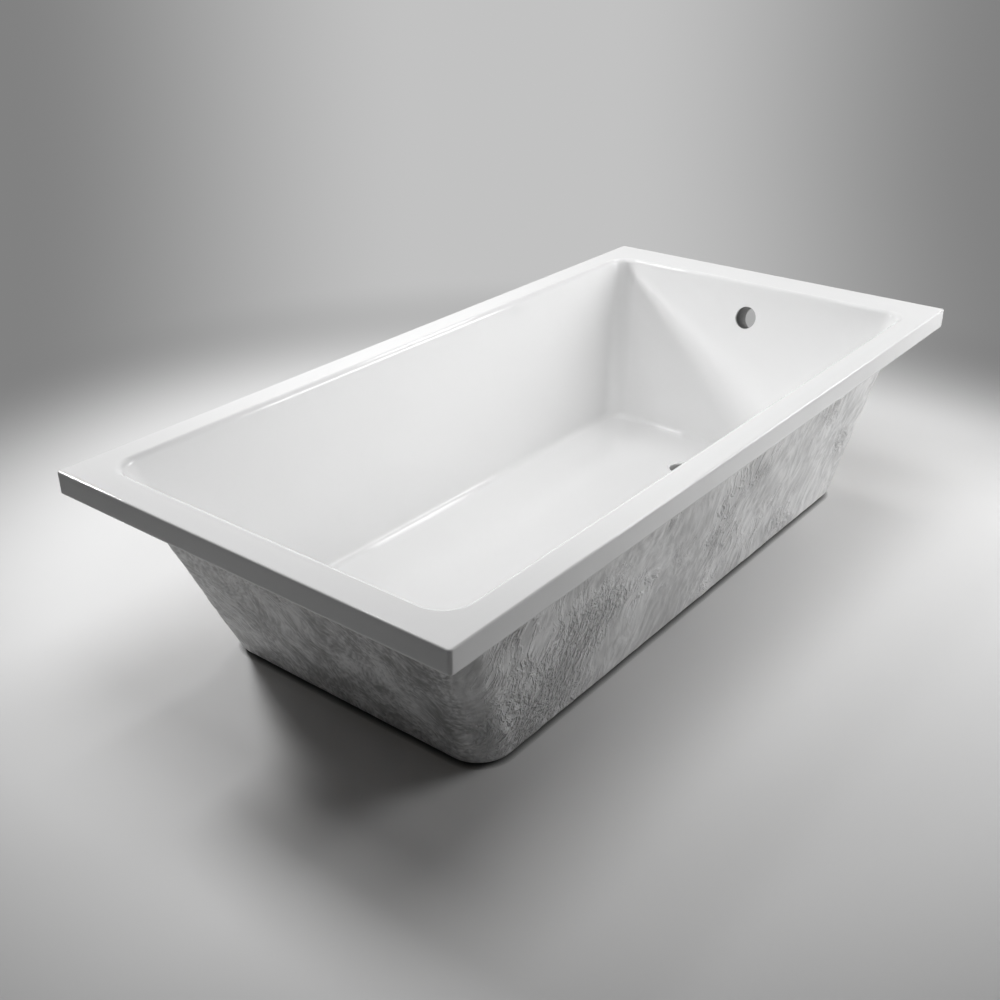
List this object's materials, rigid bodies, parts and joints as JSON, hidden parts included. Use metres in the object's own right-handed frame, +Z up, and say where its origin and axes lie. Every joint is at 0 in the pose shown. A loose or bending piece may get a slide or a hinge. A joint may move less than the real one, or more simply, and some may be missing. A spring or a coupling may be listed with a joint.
{
  "type": "bathtub shell",
  "caption": "Rectangular drop-in bath shell: white rim and basin with a sloped head end, bare waste and overflow holes, on a grey glass-fibre backing.",
  "frame": {"origin": "centre of the footprint, on the floor under the flat base", "axes": "+X along the bath from the head end (the sloped backrest) to the foot end (waste and overflow), +Y across to the far side, +Z up"},
  "size_m": [1.7, 0.85, 0.403],
  "materials": {
    "acrylic": "high-gloss white cast acrylic",
    "laminate": "raw grey glass-fibre laminate, rolled and brushed rough",
    "board": "chipboard, resin-sealed",
    "rail_timber": "planed softwood",
    "collar": "raw grey glass-fibre tube"
  },
  "bodies": {
    "root": {"acrylic_shell": "acrylic", "glass_fibre_jacket": "laminate", "base_board": "board", "near_rail": "rail_timber", "far_rail": "rail_timber", "head_rail": "rail_timber", "foot_rail": "rail_timber", "overflow_collar": "collar"}
  },
  "joints": []
}
